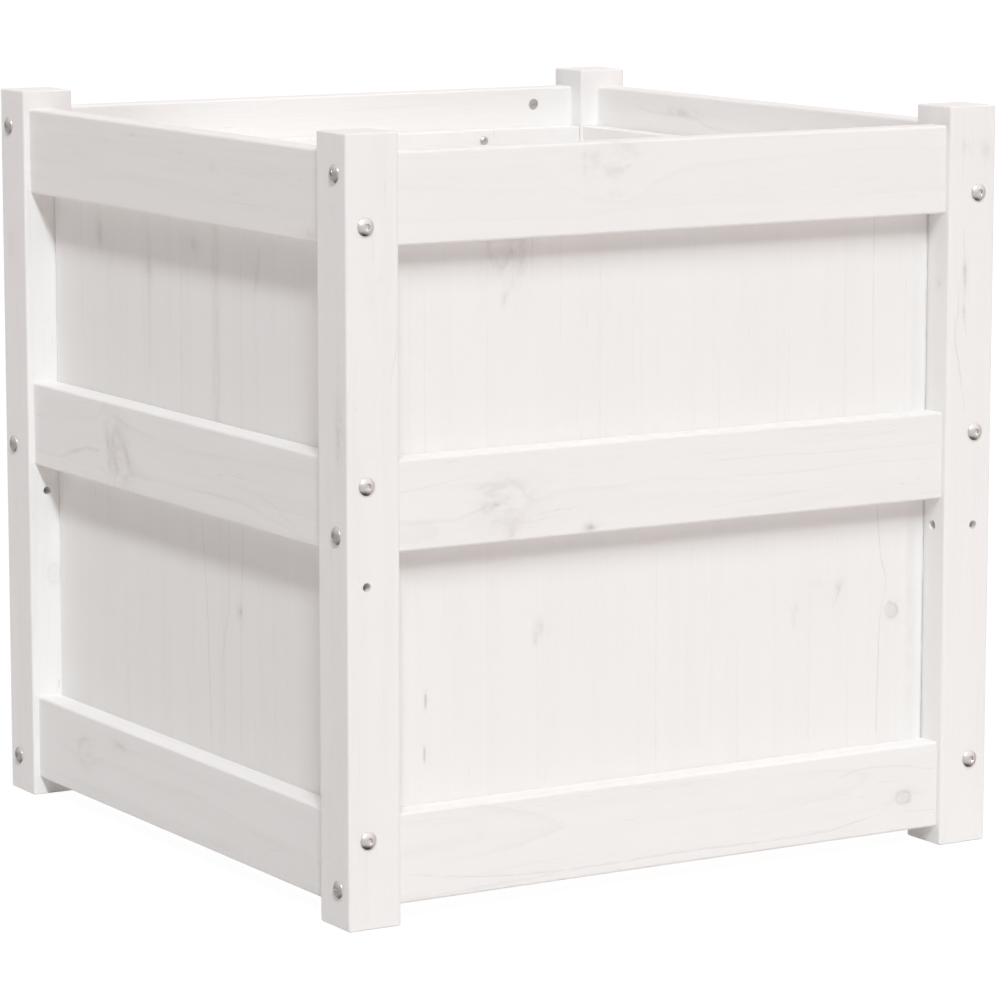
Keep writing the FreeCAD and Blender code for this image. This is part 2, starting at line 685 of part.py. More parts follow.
for side, turn, out, run in SIDES:
    if run != "y":
        continue
    along = Vector(abs(out.y), abs(out.x), 0)
    depth = panel_face.value + D["batten_wide"].value
    at = D["batten_low"].value + D["batten_high"].value / 2
    group(
        "batten_screws_" + side,
        long_screw,
        [
            Placement(out * (W2 - depth) + along * (sign * D[u].value) + Z * at, Rotation(Z, out * -1))
            for u in ("batten_near", "batten_far")
            for sign in (-1, 1)
        ],
    )
    group(
        "slat_screws_" + side,
        short_screw,
        [
            Placement(
                out * D["slat_screw_in"].value
                + along * (sign * step * slat_step.value)
                + Z * (slat_z.value + D["slat_thick"].value),
                Rotation(),
            )
            for sign, step in slat_rows
        ],
    )

doc.recompute()

# ---------------------------------------------------------------- checks and files
for obj in doc.Objects:
    if "Invalid" in obj.State or "Error" in obj.State:
        raise RuntimeError("%s failed: %s" % (obj.Label, obj.State))
for part in subparts:
    shape = part.Shape
    if shape.isNull() or not shape.isValid() or shape.Volume <= 0:
        raise RuntimeError("%s has no valid shape" % part.Label)
if len({p.Label for p in subparts}) != len(subparts):
    raise RuntimeError("two pieces share a name")

os.makedirs("parts", exist_ok=True)
for part in subparts:
    part.Shape.exportStep("parts/%s.step" % part.Label)
    print("%-26s solids %2d  volume %9.1f cm3" % (part.Label, len(part.Shape.Solids), part.Shape.Volume / 1000))
print(len(subparts), "pieces")
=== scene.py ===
import math
import random

import bmesh
import bpy
from mathutils import Matrix, Vector


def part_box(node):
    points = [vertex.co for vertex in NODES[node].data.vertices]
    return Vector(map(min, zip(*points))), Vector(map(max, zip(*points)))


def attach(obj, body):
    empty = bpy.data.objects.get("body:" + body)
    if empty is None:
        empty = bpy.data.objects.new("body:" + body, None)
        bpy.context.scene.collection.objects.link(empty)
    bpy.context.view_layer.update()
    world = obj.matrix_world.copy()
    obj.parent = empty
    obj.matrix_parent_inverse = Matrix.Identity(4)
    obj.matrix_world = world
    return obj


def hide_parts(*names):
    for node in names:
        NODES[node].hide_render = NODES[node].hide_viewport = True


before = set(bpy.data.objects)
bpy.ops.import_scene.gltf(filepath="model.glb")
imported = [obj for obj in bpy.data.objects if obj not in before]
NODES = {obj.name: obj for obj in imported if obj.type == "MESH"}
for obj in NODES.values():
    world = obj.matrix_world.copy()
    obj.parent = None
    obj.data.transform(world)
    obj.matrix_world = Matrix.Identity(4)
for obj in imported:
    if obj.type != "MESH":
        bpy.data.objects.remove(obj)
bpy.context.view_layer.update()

scene = bpy.context.scene

# ---------------------------------------------------------------------------
# Node graph helper: values with arithmetic, so that a material reads as a
# formula. All lengths inside the wood formulas are millimetres.
# ---------------------------------------------------------------------------


class Val:
    def __init__(self, graph, socket):
        self.g = graph
        self.s = socket

    def __add__(self, o):
        return self.g.math("ADD", self, o)

    __radd__ = __add__

    def __sub__(self, o):
        return self.g.math("SUBTRACT", self, o)

    def __rsub__(self, o):
        return self.g.math("SUBTRACT", o, self)

    def __mul__(self, o):
        return self.g.math("MULTIPLY", self, o)

    __rmul__ = __mul__

    def __truediv__(self, o):
        return self.g.math("DIVIDE", self, o)


class Graph:
    def __init__(self, name):
        self.mat = bpy.data.materials.new(name)
        self.mat.use_nodes = True
        self.tree = self.mat.node_tree
        self.tree.nodes.clear()

    def new(self, kind, **attrs):
        n = self.tree.nodes.new(kind)
        for k, v in attrs.items():
            setattr(n, k, v)
        return n

    def put(self, socket, value):
        if isinstance(value, Val):
            self.tree.links.new(value.s, socket)
        else:
            socket.default_value = value

    def math(self, op, a, b=None, c=None, clamp=False):
        n = self.new("ShaderNodeMath", operation=op, use_clamp=clamp)
        for i, v in enumerate((a, b, c)):
            if v is not None:
                self.put(n.inputs[i], v)
        return Val(self, n.outputs[0])

    def madd(self, a, b, c):
        return self.math("MULTIPLY_ADD", a, b, c)

    def vec(self, x, y, z):
        n = self.new("ShaderNodeCombineXYZ")
        for i, v in enumerate((x, y, z)):
            self.put(n.inputs[i], v)
        return Val(self, n.outputs[0])

    def vmath(self, op, a, b=None, out=0):
        n = self.new("ShaderNodeVectorMath", operation=op)
        self.put(n.inputs[0], a)
        if b is not None:
            self.put(n.inputs[1], b)
        return Val(self, n.outputs[out])

    def length(self, v):
        return self.vmath("LENGTH", v, out=1)

    def split(self, v):
        n = self.new("ShaderNodeSeparateXYZ")
        self.put(n.inputs[0], v)
        return [Val(self, o) for o in n.outputs]

    def noise(self, vector, detail=2.0, rough=0.5, colour=False, dist=0.0):
        n = self.new("ShaderNodeTexNoise", noise_dimensions="3D")
        n.inputs["Scale"].default_value = 1.0
        n.inputs["Detail"].default_value = detail
        n.inputs["Roughness"].default_value = rough
        n.inputs["Distortion"].default_value = dist
        self.put(n.inputs["Vector"], vector)
        return Val(self, n.outputs[1 if colour else 0])

    def white(self, value):
        n = self.new("ShaderNodeTexWhiteNoise", noise_dimensions="1D")
        self.put(n.inputs["W"], value)
        return Val(self, n.outputs[0]), Val(self, n.outputs[1])

    def remap(self, v, a, b, c=0.0, d=1.0, smooth=True):
        n = self.new("ShaderNodeMapRange",
                     interpolation_type="SMOOTHSTEP" if smooth else "LINEAR")
        n.clamp = True
        self.put(n.inputs["Value"], v)
        n.inputs["From Min"].default_value = a
        n.inputs["From Max"].default_value = b
        n.inputs["To Min"].default_value = c
        n.inputs["To Max"].default_value = d
        return Val(self, n.outputs[0])

    def ramp(self, v, stops, interp="LINEAR"):
        n = self.new("ShaderNodeValToRGB")
        r = n.color_ramp
        r.interpolation = interp
        while len(r.elements) < len(stops):
            r.elements.new(0.5)
        for e, (p, c) in zip(r.elements, stops):
            e.position = p
            e.color = (c, c, c, 1.0) if not isinstance(c, tuple) else (*c, 1.0)
        self.put(n.inputs[0], v)
        return Val(self, n.outputs[0])

    def curve(self, v, points):
        n = self.new("ShaderNodeFloatCurve")
        c = n.mapping.curves[0]
        n.mapping.use_clip = False
        pts = sorted(points)
        while len(c.points) < len(pts):
            c.points.new(0.5, 0.5)
        for p, q in zip(c.points, pts):
            p.location = q
            p.handle_type = "AUTO_CLAMPED"
        n.mapping.update()
        self.put(n.inputs["Value"], v)
        return Val(self, n.outputs[0])

    def mix(self, fac, a, b):
        n = self.new("ShaderNodeMix", data_type="RGBA", blend_type="MIX")
        self.put(n.inputs["Factor"], fac)
        ins = [s for s in n.inputs if s.type == "RGBA"]
        for s, v in zip(ins, (a, b)):
            self.put(s, v if isinstance(v, Val) else (*v, 1.0))
        out = [o for o in n.outputs if o.type == "RGBA"][0]
        return Val(self, out)

    def millimetres(self):
        tc = self.new("ShaderNodeTexCoord")
        n = self.new("ShaderNodeVectorMath", operation="SCALE")
        n.inputs["Scale"].default_value = 1000.0
        self.tree.links.new(tc.outputs["Object"], n.inputs[0])
        return Val(self, n.outputs[0])

    def bump(self, height, distance=0.001, strength=1.0):
        n = self.new("ShaderNodeBump")
        n.inputs["Strength"].default_value = strength
        n.inputs["Distance"].default_value = distance
        self.put(n.inputs["Height"], height)
        return Val(self, n.outputs[0])

    def surface(self, **sockets):
        b = self.new("ShaderNodeBsdfPrincipled")
        o = self.new("ShaderNodeOutputMaterial")
        for k, v in sockets.items():
            s = b.inputs[k.replace("_", " ")]
            if isinstance(v, tuple) and s.type == "RGBA" and len(v) == 3:
                v = (*v, 1.0)
            self.put(s, v)
        self.tree.links.new(b.outputs[0], o.inputs[0])
        return self.mat


# ---------------------------------------------------------------------------
# White glazed pine. One material per board: the growth rings run round a pith
# line of that board's own, bend round its knots, and show at the ends as end
# grain, because everything is worked out in the solid and not on the surface.
# ---------------------------------------------------------------------------

PAINT = (0.860, 0.846, 0.835)
GRAIN = (0.528, 0.493, 0.466)

AXES = {"x": 0, "y": 1, "z": 2}


def pine(name, axes, seed, pith, tilt=(0.0, 0.0), ring=3.2, figure=1.0, streaks=1.0,
         dashes=1.0, knots=(), lines=(), seams_and_painted_shade=(), joints=(), wander=9.0):
    """axes is grain, width and thickness axis, such as "xzy". pith is where the middle of the tree
    lies (width, thickness), tilt how it leans along the grain.
    knots: (along, across, half length, half width, strength, kind, lean), where kind is the axis the knot
    runs along, "w" or "v", with "o" for an open ring, "d" for an even disc or "s" for a soft smudge
    lines: ([(along, across), ...], width, strength)   seams: (across, width, strength, from, to) along the grain, dark bands of the figure, and on the front panel also painted shade by the right post
    joints: places of glue lines across the width."""
    g = Graph(name)
    rnd = random.Random(seed)
    p = g.split(g.millimetres())
    u, v, w = (p[AXES[a]] for a in axes)
    off = [rnd.uniform(-40.0, 40.0) for _ in range(16)]

    # glued boards: each stave has a tree of its own
    joint_mark = None
    us = u
    if joints:
        index = None
        for b in joints:
            step = g.math("GREATER_THAN", v, float(b))
            index = step if index is None else index + step
            mark = g.remap(g.math("ABSOLUTE", v - float(b)), 0.12, 0.70, 1.0, 0.0)
            joint_mark = mark if joint_mark is None else g.math("MAXIMUM", joint_mark, mark)
        _, rcol = g.white(index + float(seed % 97))
        ru, rv, rw = g.split(rcol)
        us = g.madd(ru, 400.0, u)

    # slow wander of the grain, and a finer unevenness that breaks up outlines
    w1 = g.noise(g.vec(g.madd(us, 0.0052, off[0]), g.madd(v, 0.016, off[1]), g.madd(w, 0.016, off[2])),
                 detail=1.0, rough=0.45)
    vv = g.madd(w1, wander, v - 0.5 * wander)
    ww = g.madd(w1, -0.8 * wander, w + 0.4 * wander)
    f1 = g.noise(g.vec(g.madd(us, 0.05, off[3]), g.madd(v, 0.21, off[4]), g.madd(w, 0.21, off[5])),
                 detail=2.0, rough=0.6)

    # knots: the rings swell round them, the fibres part, and the knot itself is dark at heart and rim
    knot_tone = swell = halo = None
    if knots:
        patchy = g.noise(g.vec(g.madd(u, 0.060, off[7]), g.madd(v, 0.085, off[8]), g.madd(w, 0.085, off[9])),
                         detail=2.0, rough=0.6)
        uneven = g.remap(patchy, 0.36, 0.60, 0.20, 1.25)
    for knot in knots:
        ku, kv, a, b, strength, kind = knot[:6]
        lean = knot[6] if len(knot) > 6 else 0.0
        across = v if "w" in kind else w
        du = g.madd(u, 1.0 / a, -ku / a)
        if lean:
            du = g.madd(across, -lean / a, g.madd(u, 1.0 / a, (lean * kv - ku) / a))
        dv = g.madd(across, 1.0 / b, -kv / b)
        wide = g.vec(du * 0.40, dv * 0.48, 0.0)
        e = g.math("POWER", 0.3679, g.vmath("DOT_PRODUCT", wide, wide, out=1))
        if "w" in kind:
            vv = g.madd(dv * e, -0.75 * b, vv)
        else:
            ww = g.madd(dv * e, -0.75 * b, ww)
        if min(a, b) > 3.5:
            amp = 0.085 * min(a, b)
            swell = e * amp if swell is None else g.madd(e, amp, swell)
            halo = e * strength if halo is None else g.madd(e, strength, halo)
        d = g.length(g.vec(g.madd(f1, 1.1, du - 0.55), g.madd(f1, -0.9, dv + 0.45), 0.0))
        if "o" in kind:
            shape = [(0.0, 0.40), (0.10, 0.28), (0.17, 0.36), (0.22, 0.26), (0.28, 0.48), (0.33, 0.84),
                     (0.39, 0.52), (0.50, 0.22), (0.80, 0.05), (1.0, 0.0)]
        elif "s" in kind:
            shape = [(0.0, 1.0), (0.10, 0.84), (0.22, 0.50), (0.36, 0.24), (0.52, 0.10), (0.80, 0.02), (1.0, 0.0)]
        elif "d" in kind:
            shape = [(0.0, 0.66), (0.15, 0.56), (0.25, 0.62), (0.305, 0.95), (0.34, 0.55), (0.40, 0.12),
                     (0.60, 0.03), (1.0, 0.0)]
        else:
            shape = [(0.0, 0.95), (0.06, 0.72), (0.15, 0.46), (0.22, 0.40), (0.28, 0.58), (0.325, 0.80),
                     (0.375, 0.36), (0.52, 0.12), (0.80, 0.03), (1.0, 0.0)]
        tone = g.ramp(d * 0.3333, shape)
        rings = g.math("SINE", g.madd(f1, 5.0, d * 15.0))
        tone = tone * g.madd(rings, 0.20, 1.0)
        if "o" in kind or "s" in kind:
            tone = tone * uneven
        if "d" in kind:
            tone = tone * g.remap(dv if axes[0] == "z" else du, -1.2, 1.2, 0.70, 1.30)
        knot_tone = tone * strength if knot_tone is None else g.madd(tone, strength, knot_tone)

    # growth rings
    if joints:
        cv = vv - g.madd(rv, 90.0, v_mid(joints) - 45.0)
        cw = ww - g.madd(rw, 70.0, pith[1] - 20.0)
    else:
        cv = vv - pith[0]
        cw = ww - pith[1]
    cv = g.madd(us, -tilt[0], cv) if tilt[0] else cv
    cw = g.madd(us, -tilt[1], cw) if tilt[1] else cw
    radius = g.length(g.vec(cv, cw, 0.0))
    phase = g.madd(f1, 0.40, radius * (1.0 / ring))
    if swell is not None:
        phase = phase + swell
    frac = g.math("FRACT", phase)
    late = g.ramp(frac, [(0.0, 0.0), (0.10, 0.0), (0.45, 0.10), (0.74, 0.42), (0.90, 1.0), (0.955, 0.95), (1.0, 0.0)])
    rs, _ = g.white(g.math("FLOOR", phase))
    late = late * g.madd(g.math("POWER", rs, 2.0), 0.92, 0.08)

    # fibres, broad streaks, short dark pores
    fib = g.noise(g.vec(g.madd(us, 0.014, off[6]), g.madd(vv, 0.85, off[7]), g.madd(ww, 0.85, off[8])),
                  detail=2.0, rough=0.62)
    broad = g.noise(g.vec(g.madd(us, 0.0030, off[9]), g.madd(vv, 0.050, off[10]), g.madd(ww, 0.050, off[11])),
                    detail=2.0, rough=0.55)
    pore_n = g.noise(g.vec(g.madd(us, 0.055, off[12]), g.madd(vv, 1.25, off[13]), g.madd(ww, 1.25, off[14])),
                     detail=1.0, rough=0.5)
    blot = g.noise(g.vec(g.madd(u, 0.009, off[2]), g.madd(v, 0.020, off[5]), g.madd(w, 0.020, off[15])),
                   detail=1.0, rough=0.5)

    # where the glaze is thinner the figure shows more
    thin = g.remap(blot, 0.34, 0.70, 0.25, 1.30)
    lively = g.remap(broad, 0.42, 0.64, 0.10, 1.0)
    if halo is not None:
        thin = g.madd(halo, 3.4, thin)
    tone = late * thin * (0.135 * figure)
    tone = g.madd(g.remap(fib, 0.46, 0.80) * lively, 0.100 * streaks, tone)
    tone = g.madd(lively, 0.034 * streaks, tone)
    tone = g.madd(g.remap(pore_n, 0.70, 0.79) * lively, 0.42 * dashes, tone)
    if joint_mark is not None:
        tone = g.madd(joint_mark * g.remap(f1, 0.35, 0.60, 0.2, 1.0), 0.085, tone)
    if knot_tone is not None:
        tone = tone + knot_tone

    # dark bands along the grain; those at the front panel's right edge are painted shade by the right post, the broad
    # ones partly grain streaks
    for sv, width, strength, u0, u1 in seams_and_painted_shade:
        at = g.madd(f1, 1.6, sv - 0.8)
        body = g.remap(g.math("ABSOLUTE", v - at), 0.25 * width, width, 1.0, 0.0)
        mid, half = 0.5 * (u0 + u1), 0.5 * (u1 - u0)
        ends = g.remap(g.math("ABSOLUTE", u - mid), 0.55 * half, half, 1.0, 0.0)
        tone = g.madd(body * ends * g.remap(f1, 0.36, 0.60, 0.35, 1.0), strength, tone)

    groove = None
    for pts, width, strength in lines:
        us_ = [q[0] for q in pts]
        vs_ = [q[1] for q in pts]
        u0, u1 = min(us_), max(us_)
        v0, v1 = min(vs_), max(vs_)
        if v1 - v0 < 1.0:
            v0, v1 = v0 - 0.5, v1 + 0.5
        un = g.madd(u, 1.0 / (u1 - u0), -u0 / (u1 - u0))
        course = g.curve(un, [((a - u0) / (u1 - u0), (c - v0) / (v1 - v0)) for a, c in pts])
        at = g.madd(f1, 2.0, g.madd(course, v1 - v0, v0 - 1.0))
        body = g.remap(g.math("ABSOLUTE", v - at), 0.12 * width, width, 1.0, 0.0)
        ends = g.ramp(un, [(0.0, 0.0), (0.06, 0.75), (0.5, 1.0), (0.94, 0.75), (1.0, 0.0)])
        mark = body * ends * g.remap(f1, 0.34, 0.56, 0.45, 1.0)
        tone = g.madd(mark, strength, tone)
        groove = mark * strength if groove is None else g.madd(mark, strength, groove)

    colour = g.mix(g.math("MINIMUM", tone, 0.95), PAINT, GRAIN)

    # the relief: brushed fibres, a little unevenness of the planed face, open cracks and glue lines
    relief = g.noise(g.vec(g.madd(u, 0.02, off[4]), g.madd(v, 0.70, off[6]), g.madd(w, 0.70, off[9])),
                     detail=2.0, rough=0.55)
    height = relief * 0.075
    if groove is not None:
        height = g.madd(groove, -0.25, height)
    if joint_mark is not None:
        height = g.madd(joint_mark, -0.05, height)
    rough = g.madd(fib, 0.16, g.madd(blot, 0.12, 0.40))
    return g.surface(Base_Color=colour, Roughness=rough, Specular_IOR_Level=0.30,
                     Normal=g.bump(height, 0.001, 0.7))


def v_mid(joints):
    return 0.5 * (min(joints) + max(joints))


WOOD = {
    "rail_front_top": dict(axes="xzy", seed=11, pith=(548, -238), tilt=(0.012, 0.0), ring=3.6, figure=0.38, streaks=0.65, dashes=0.55,
        knots=[(-61, 573, 16, 11, 0.24, "wo"), (-58, 545, 10, 4, 0.14, "ws"), (-86.5, 571, 2.2, 14, 0.20, "ws")]),
    "rail_front_middle": dict(axes="xzy", seed=12, pith=(300, -230), tilt=(-0.02, 0.02), ring=3.3, figure=0.8,
        knots=[(-154, 315, 19, 15, 0.21, "wo"), (-80, 290, 6.0, 3.0, 0.95, "ws"), (-165, 314, 6, 2.4, 0.42, "ws", 0.5),
               (-152, 291, 4, 8, 0.26, "ws")],
        lines=[([(-250, 306), (-206, 306), (-185, 310), (-170, 316)], 2.2, 0.14),
               ([(-182, 327), (-170, 331), (-158, 332), (-146, 327), (-137, 318)], 2.8, 0.11),
               ([(-250, 330), (-215, 334), (-185, 339)], 1.1, 0.14),
               ([(20, 332), (75, 333), (142, 331), (250, 332)], 1.1, 0.15),
               ([(40, 320), (120, 318), (170, 320), (250, 319)], 1.1, 0.14),
               ([(29, 296), (70, 299), (113, 302)], 1.0, 0.14)]),
    "rail_front_bottom": dict(axes="xzy", seed=13, pith=(62, -236), tilt=(0.0, 0.03), ring=3.4, figure=0.7, streaks=0.8,
        knots=[(219, 43, 7.5, 6, 0.42, "wd")],
        lines=[([(-252, 39), (-206, 31), (-162, 26), (-118, 23.5), (-73, 23), (19, 24), (66, 23), (114, 23),
                 (172, 28), (212, 37)], 1.2, 0.26),
               ([(-252, 18), (-206, 18.5), (-162, 20), (-110, 21.5)], 1.0, 0.18),
               ([(220, 31), (235, 30), (252, 29)], 1.0, 0.20),
               ([(148, 63), (160, 67), (181, 71), (252, 63)], 1.1, 0.20),
               ([(192, 58), (215, 57)], 0.9, 0.14)]),
    "panel_front": dict(axes="zxy", seed=14, pith=(0, -225), ring=3.0, figure=0.26, streaks=0.50, dashes=0.6,
        joints=(-160, -116, -22, 46, 106, 199),
        knots=[(469, -144, 6, 3.2, 0.30, "ws", 0.5), (507, -131, 26, 10, 0.20, "ws"),
               (509, -149, 15, 9, 0.30, "wo"), (193, 221, 6.5, 6.2, 0.44, "wd"), (212, 167, 8, 3.8, 0.40, "ws", 0.4),
               (219, 153, 7, 9, 0.14, "ws"), (199, 126, 7, 3.2, 0.32, "ws"), (210, -110, 5, 4.2, 0.50, "ws"), (204, -117, 8, 2.4, 0.24, "ws"),
               (165, -215, 4.5, 0.9, 1.05, "w"), (123, -216, 4.5, 0.85, 1.0, "w")],
        seams_and_painted_shade=[(-228, 1.1, 0.09, 290, 520), (-215, 1.2, 0.10, 290, 500), (-95, 1.0, 0.10, 400, 530),
               (-120, 1.6, 0.18, 478, 560), (-138, 1.4, 0.14, 470, 550),
               (-59, 1.0, 0.07, 300, 520), (-29, 1.0, 0.07, 330, 500), (52, 1.1, 0.09, 290, 430),
               (118, 1.0, 0.08, 320, 520), (172, 1.6, 0.10, 290, 520), (231, 1.2, 0.11, 290, 520),
               (-6, 1.1, 0.13, 60, 290), (71, 1.0, 0.10, 60, 200), (140, 1.3, 0.10, 70, 250),
               # the bands at 240 and 241, beside the right post, are partly grain streaks and partly painted shade
               (240, 7.0, 0.13, 60, 290), (241, 6.0, 0.08, 290, 530), (-236, 1.2, 0.10, 60, 280), (-188, 1.0, 0.07, 60, 220), (178, 1.2, 0.09, 60, 190),
               # painted shade: this band darkens the panel's right edge where the gap to the right post lies in shade
               (251.3, 1.0, 0.50, -80, 700)],
        lines=[([(530, 199), (444, 199), (396, 200), (360, 201)], 0.9, 0.22),
               ([(284, 205), (271, 206), (238, 210), (212, 215), (206, 214)], 0.9, 0.36),
               ([(208, 214), (196, 211), (178, 209), (142, 208), (88, 207)], 0.9, 0.37),
               ([(500, -127), (478, -138), (463, -147)], 3.0, 0.07),
               ([(225, 173), (212, 168), (200, 162)], 2.0, 0.12),
               ([(216, 113), (206, 120), (196, 127)], 2.0, 0.11)]),
    "rail_left_top": dict(axes="yzx", seed=21, pith=(535, -225), tilt=(0.01, 0.0), ring=3.1, figure=0.75, dashes=0.9,
        knots=[(-234, 521, 9, 6, 0.26, "ws"), (62, 576, 10, 1.6, 0.18, "ws"), (-77, 560, 5, 3, 0.18, "ws"),
               (-115, 542, 8, 1.2, 0.16, "ws")]),
    "rail_left_middle": dict(axes="yzx", seed=22, pith=(318, -236), tilt=(-0.015, 0.0), ring=3.3, figure=0.85,
        knots=[(91, 315, 12, 18, 0.34, "wo", 0.25), (112, 314, 3.4, 19, 0.34, "ws", 0.15)],
        lines=[([(127, 312), (150, 312), (164, 309), (202, 299)], 2.8, 0.26),
               ([(-211, 291), (-166, 297), (-101, 303), (-40, 303)], 2.2, 0.10),
               ([(-230, 285), (-200, 297), (-150, 312), (-100, 316)], 2.2, 0.08)]),
    "rail_left_bottom": dict(axes="yzx", seed=23, pith=(35, -232), tilt=(0.02, 0.0), ring=3.5, figure=0.8,
        knots=[(164, 54, 12, 9, 0.24, "wo"), (100, 69, 12, 5, 0.24, "ws", -0.6)]),
    "panel_left": dict(axes="zyx", seed=24, pith=(0, -230), ring=3.0, figure=0.30, streaks=0.68, dashes=0.9,
        joints=(-197, -105, -45, 8, 79, 168),
        knots=[(208, -76, 6, 4.8, 0.50, "ws"), (487, 168, 16, 8, 0.32, "ws"), (472, 146, 9, 5, 0.22, "ws"),
               (492, 0, 9, 9, 0.24, "ws"), (466, 78, 10, 7, 0.24, "ws")],
        seams_and_painted_shade=[(-38, 9.0, 0.20, 250, 560), (-30, 1.2, 0.13, 350, 520), (22, 3.0, 0.09, 330, 520),
               (202, 2.6, 0.10, 380, 530), (-158, 1.4, 0.09, 290, 500), (120, 1.4, 0.08, 300, 480),
               (48, 1.4, 0.10, 60, 190), (-130, 1.4, 0.09, 60, 240), (-98, 1.2, 0.10, 60, 150)],
        lines=[([(500, 79), (454, 77), (414, 78), (380, 78)], 6.0, 0.11),
               ([(500, -111), (480, -108), (462, -103)], 5.0, 0.19),
               ([(510, -80), (440, -80), (375, -80), (300, -82)], 2.0, 0.13),
               ([(285, -9), (275, -10), (208, -18), (86, -24)], 1.9, 0.21),
               ([(285, -57), (262, -57), (214, -56), (165, -46), (95, -47)], 1.9, 0.18),
               ([(285, -80), (249, -79), (203, -76), (91, -75)], 1.9, 0.21)]),
    "post_front_left": dict(axes="zxy", seed=31, pith=(-310, -312), ring=3.0, figure=0.6, streaks=0.8,
        knots=[(492, -270, 8, 5, 0.16, "ws", 0.9), (378, -285, 22, 6, 0.26, "vs")],
        lines=[([(455, -254), (447, -254.5), (410, -261)], 1.3, 0.15)]),
    "post_front_right": dict(axes="zxy", seed=32, pith=(306, -318), ring=2.9, figure=0.65, streaks=0.8,
        knots=[(468, 268.5, 10, 2.2, 0.40, "ws"), (437, 269, 8, 2.4, 0.40, "ws"),
               (566, 266, 6, 7, 0.20, "ws"), (564, 288, 7, 5, 0.20, "ws"), (458, -285, 5, 4, 0.26, "vs")],
        lines=[([(505, 267), (481, 268), (465, 269), (436, 269), (414, 272)], 1.2, 0.24),
               ([(460, 262), (443, 263), (419, 260), (395, 264), (352, 271.5)], 1.4, 0.24)]),
    "post_back_left": dict(axes="zxy", seed=33, pith=(-318, 300), ring=3.0, figure=0.6, streaks=0.8,
        knots=[(470, 281, 9, 5, 0.20, "v"), (190, -276, 9, 6, 0.24, "w")]),
    "post_back_right": dict(axes="zxy", seed=34, pith=(312, 306), ring=3.0, figure=0.6, streaks=0.8,
        knots=[(240, 280, 12, 6, 0.28, "v"), (420, 282, 9, 6, 0.24, "wo")]),
    "rail_right_top": dict(axes="yzx", seed=41, pith=(560, 225), tilt=(0.02, 0.0), ring=3.2, figure=0.8,
        knots=[(118, 570, 24, 3.6, 0.34, "ws"), (-90, 552, 12, 9, 0.28, "wo")],
        lines=[([(30, 556), (75, 560), (105, 567), (150, 567), (190, 572)], 2.2, 0.15)]),
    "rail_right_middle": dict(axes="yzx", seed=42, pith=(330, 236), tilt=(0.01, 0.0), ring=3.2, figure=0.8,
        knots=[(-120, 322, 13, 10, 0.30, "wo"), (60, 300, 7, 4, 0.36, "w")],
        lines=[([(-60, 318), (40, 321), (200, 314)], 1.2, 0.16)]),
    "rail_right_bottom": dict(axes="yzx", seed=43, pith=(44, 232), tilt=(-0.02, 0.0), ring=3.4, figure=0.8,
        knots=[(40, 50, 12, 9, 0.30, "wo"), (-170, 36, 6, 5, 0.42, "wd")],
        lines=[([(-250, 30), (-120, 26), (30, 33), (180, 30)], 1.2, 0.22)]),
    "panel_right": dict(axes="zyx", seed=44, pith=(0, 230), ring=3.0, figure=0.30, streaks=0.65, dashes=0.8,
        joints=(-186, -120, -58, 10, 88, 160),
        knots=[(430, 92, 9, 6, 0.34, "w"), (170, -90, 7, 6, 0.42, "wd"), (240, 140, 5, 1.4, 0.8, "w"),
               (462, -150, 10, 4, 0.28, "w")],
        seams_and_painted_shade=[(-210, 1.2, 0.10, 290, 520), (-150, 2.6, 0.10, 330, 520), (40, 1.1, 0.10, 290, 480),
               (200, 1.4, 0.10, 60, 280), (60, 1.2, 0.12, 60, 240), (-30, 1.2, 0.09, 60, 200)],
        lines=[([(500, -58), (400, -60), (280, -63), (120, -66)], 0.9, 0.28),
               ([(270, 120), (210, 116), (130, 119), (90, 121)], 0.9, 0.30)]),
    "rail_back_top": dict(axes="xzy", seed=51, pith=(545, 232), tilt=(0.015, 0.0), ring=3.4, figure=0.55, dashes=0.7,
        knots=[(110, 531, 13, 9, 0.28, "wo"), (-140, 560, 6, 3, 0.36, "w")]),
    "rail_back_middle": dict(axes="xzy", seed=52, pith=(312, 236), tilt=(-0.01, 0.0), ring=3.2, figure=0.8,
        knots=[(-60, 325, 12, 8, 0.30, "wo"), (170, 306, 6, 4, 0.42, "wd")],
        lines=[([(-240, 318), (-150, 322), (-80, 331)], 1.2, 0.18), ([(60, 332), (150, 330), (250, 333)], 1.1, 0.15)]),
    "rail_back_bottom": dict(axes="xzy", seed=53, pith=(58, 230), tilt=(0.01, 0.0), ring=3.4, figure=0.75,
        knots=[(160, 48, 10, 8, 0.32, "w")],
        lines=[([(-252, 30), (-120, 36), (20, 33), (140, 41)], 1.2, 0.22)]),
    "panel_back": dict(axes="zxy", seed=54, pith=(0, 228), ring=3.0, figure=0.30, streaks=0.65, dashes=0.8,
        joints=(-170, -98, -30, 40, 110, 182),
        knots=[(400, 60, 9, 6, 0.36, "w"), (180, -130, 7, 6, 0.44, "wd"), (300, 200, 5, 1.3, 0.9, "w"),
               (150, 80, 9, 4, 0.28, "w")],
        seams_and_painted_shade=[(-212, 1.2, 0.10, 290, 520), (-140, 2.4, 0.10, 330, 520), (70, 1.1, 0.10, 290, 480),
               (212, 1.4, 0.10, 60, 280), (20, 1.2, 0.12, 60, 240), (-60, 1.2, 0.09, 60, 200)],
        lines=[([(500, -30), (380, -31), (250, -27), (110, -26)], 0.9, 0.26)]),
    "floor_batten_left": dict(axes="yxz", seed=61, pith=(-240, 10), ring=3.0),
    "floor_batten_right": dict(axes="yxz", seed=62, pith=(240, 8), ring=3.0),
}
